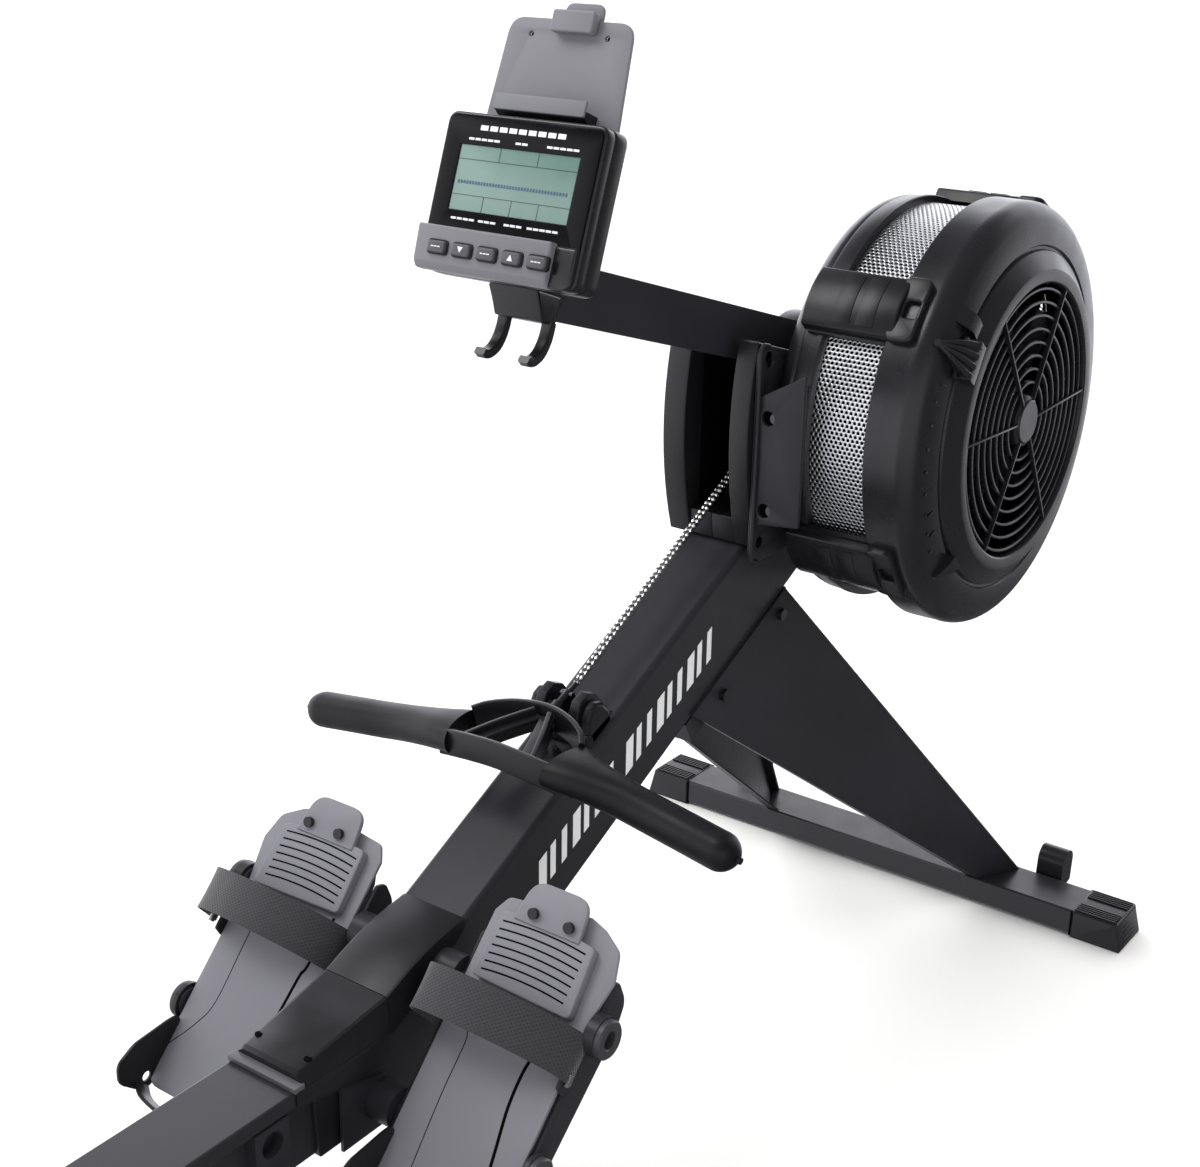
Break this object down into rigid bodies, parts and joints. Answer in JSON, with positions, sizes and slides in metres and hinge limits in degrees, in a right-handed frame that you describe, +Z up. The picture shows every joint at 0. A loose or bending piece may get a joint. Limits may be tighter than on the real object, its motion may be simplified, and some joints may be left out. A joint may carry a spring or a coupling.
{
  "type": "rowing machine",
  "caption": "Air-resistance rowing machine with a sliding seat on a rail, chain-drawn handle, caged fan, adjustable foot rests and a monitor on an arm.",
  "frame": {"origin": "on the floor, under the middle of the machine's box", "axes": "+X towards the fan along the rail, +Y to the rower's left, +Z up"},
  "size_m": [2.36, 0.656, 1.051],
  "materials": {
    "frame_steel": "satin black powder coat",
    "rail_black": "satin black",
    "black_plastic": "fine textured moulded black",
    "grey_plastic": "fine textured mid grey",
    "button_grey": "satin dark grey",
    "perforated_silver": "bare perforated steel",
    "chain_steel": "nickel plated",
    "bright_steel": "dark zinc",
    "webbing": "woven nylon",
    "cord_fabric": "braided sheath",
    "grip_rubber": "soft matt",
    "wheel_rubber": "smooth",
    "roller_plastic": "smooth",
    "seat_foam": "soft matt skin",
    "screen_glass": "clear window over a green-grey display",
    "fan_black": "moulded"
  },
  "bodies": {
    "frame": {"main_beam": "frame_steel", "left_leg": "frame_steel", "right_leg": "frame_steel", "front_bar": "frame_steel", "front_bar_caps": "black_plastic", "wheel_brackets": "black_plastic", "rail": "rail_black", "rail_spine": "frame_steel", "rail_end_cap": "black_plastic", "rail_tab": "frame_steel", "rear_post": "frame_steel", "rear_bar": "frame_steel", "rear_bar_caps": "black_plastic", "upper_cover": "black_plastic", "lower_cover": "black_plastic", "foot_tubes": "frame_steel", "foot_base_left": "grey_plastic", "foot_base_right": "grey_plastic", "foot_strap_left": "webbing", "foot_strap_right": "webbing", "handle_cradle": "black_plastic", "chain_housing": "black_plastic", "fan_bracket": "frame_steel", "fan_shell_right": "black_plastic", "fan_shell_left": "black_plastic", "perforated_band": "perforated_silver", "shell_clips": "black_plastic", "fan_bearings": "bright_steel", "chain": "chain_steel", "return_cord": "cord_fabric", "fasteners": "bright_steel"},
    "seat": {"seat_pad": "seat_foam", "seat_carriage": "black_plastic"},
    "front_rollers": {"front_seat_rollers": "roller_plastic"},
    "rear_rollers": {"rear_seat_rollers": "roller_plastic"},
    "handle": {"handle_yoke": "black_plastic", "handle_grip_left": "grip_rubber", "handle_grip_right": "grip_rubber", "chain_swivel": "chain_steel"},
    "sprocket": {"chain_sprocket": "chain_steel"},
    "idler": {"idler_pulley": "roller_plastic"},
    "fan_wheel": {"flywheel": "fan_black", "fan_axle": "bright_steel"},
    "damper": {"damper_lever": "black_plastic"},
    "monitor_arm": {"monitor_arm": "frame_steel"},
    "monitor": {"monitor_case": "black_plastic", "monitor_screen": "screen_glass", "monitor_bracket": "black_plastic", "tablet_plate": "grey_plastic"},
    "tablet_clamp": {"tablet_clamp": "grey_plastic"},
    "foot_plate_left": {"foot_plate_left": "grey_plastic"},
    "foot_plate_right": {"foot_plate_right": "grey_plastic"},
    "wheel_left": {"transport_wheel_left": "wheel_rubber"},
    "wheel_right": {"transport_wheel_right": "wheel_rubber"},
    "button_1": {"monitor_button_1": "button_grey"},
    "button_2": {"monitor_button_2": "button_grey"},
    "button_3": {"monitor_button_3": "button_grey"},
    "button_4": {"monitor_button_4": "button_grey"},
    "button_5": {"monitor_button_5": "button_grey"}
  },
  "joints": [
    {"name": "seat_slide", "type": "slide", "parent": "frame", "child": "seat", "axis": [1, 0, 0], "range_m": [-0.38, 0.53]},
    {"name": "front_rollers_spin", "type": "hinge", "parent": "seat", "child": "front_rollers", "pos_m": [-0.55, 0, 0.2813], "axis": [0, 1, 0], "continuous": true},
    {"name": "rear_rollers_spin", "type": "hinge", "parent": "seat", "child": "rear_rollers", "pos_m": [-0.69, 0, 0.2813], "axis": [0, 1, 0], "continuous": true},
    {"name": "handle_pull", "type": "slide", "parent": "frame", "child": "handle", "axis": [-0.9861, 0, 0.166], "range_m": [0, 1.05], "deforming": ["chain", "return_cord"]},
    {"name": "sprocket_turn", "type": "hinge", "parent": "frame", "child": "sprocket", "pos_m": [0.905, 0, 0.6525], "axis": [0, -1, 0], "range_deg": [0, 1530]},
    {"name": "idler_turn", "type": "hinge", "parent": "frame", "child": "idler", "pos_m": [0.29427, 0, 0.27219], "axis": [0, 1, 0], "range_deg": [0, 3020]},
    {"name": "fan_spin", "type": "hinge", "parent": "frame", "child": "fan_wheel", "pos_m": [0.905, 0, 0.6525], "axis": [0, -1, 0], "continuous": true},
    {"name": "damper_turn", "type": "hinge", "parent": "frame", "child": "damper", "pos_m": [0.905, -0.23, 0.6525], "axis": [0, -1, 0], "range_deg": [0, 62]},
    {"name": "arm_pivot", "type": "hinge", "parent": "frame", "child": "monitor_arm", "pos_m": [0.846, 0, 0.7025], "axis": [0, 1, 0], "range_deg": [-5, 40]},
    {"name": "monitor_tilt", "type": "hinge", "parent": "monitor_arm", "child": "monitor", "pos_m": [0.41187, 0, 0.83298], "axis": [0, 1, 0], "range_deg": [-20, 25]},
    {"name": "clamp_slide", "type": "slide", "parent": "monitor", "child": "tablet_clamp", "axis": [0.3338, 0, 0.9426], "range_m": [0, 0.04], "stiffness_N_per_m": 300},
    {"name": "foot_slide_left", "type": "slide", "parent": "frame", "child": "foot_plate_left", "axis": [0.6858, 0, 0.7278], "range_m": [0, 0.06]},
    {"name": "foot_slide_right", "type": "slide", "parent": "frame", "child": "foot_plate_right", "axis": [0.6858, 0, 0.7278], "range_m": [0, 0.06]},
    {"name": "wheel_left_spin", "type": "hinge", "parent": "frame", "child": "wheel_left", "pos_m": [1.163, 0.21, 0.02], "axis": [0, 1, 0], "continuous": true},
    {"name": "wheel_right_spin", "type": "hinge", "parent": "frame", "child": "wheel_right", "pos_m": [1.163, -0.21, 0.02], "axis": [0, 1, 0], "continuous": true},
    {"name": "button_1_press", "type": "slide", "parent": "monitor", "child": "button_1", "axis": [0.9426, 0, -0.3338], "range_m": [0, 0.0015], "stiffness_N_per_m": 600},
    {"name": "button_2_press", "type": "slide", "parent": "monitor", "child": "button_2", "axis": [0.9426, 0, -0.3338], "range_m": [0, 0.0015], "stiffness_N_per_m": 600},
    {"name": "button_3_press", "type": "slide", "parent": "monitor", "child": "button_3", "axis": [0.9426, 0, -0.3338], "range_m": [0, 0.0015], "stiffness_N_per_m": 600},
    {"name": "button_4_press", "type": "slide", "parent": "monitor", "child": "button_4", "axis": [0.9426, 0, -0.3338], "range_m": [0, 0.0015], "stiffness_N_per_m": 600},
    {"name": "button_5_press", "type": "slide", "parent": "monitor", "child": "button_5", "axis": [0.9426, 0, -0.3338], "range_m": [0, 0.0015], "stiffness_N_per_m": 600}
  ],
  "couplings": [
    {"joint": "front_rollers_spin", "follows": "seat_slide", "rad_per_m": 71.429},
    {"joint": "rear_rollers_spin", "follows": "seat_slide", "rad_per_m": 71.429},
    {"joint": "sprocket_turn", "follows": "handle_pull", "rad_per_m": 25.253},
    {"joint": "idler_turn", "follows": "handle_pull", "rad_per_m": 50}
  ]
}
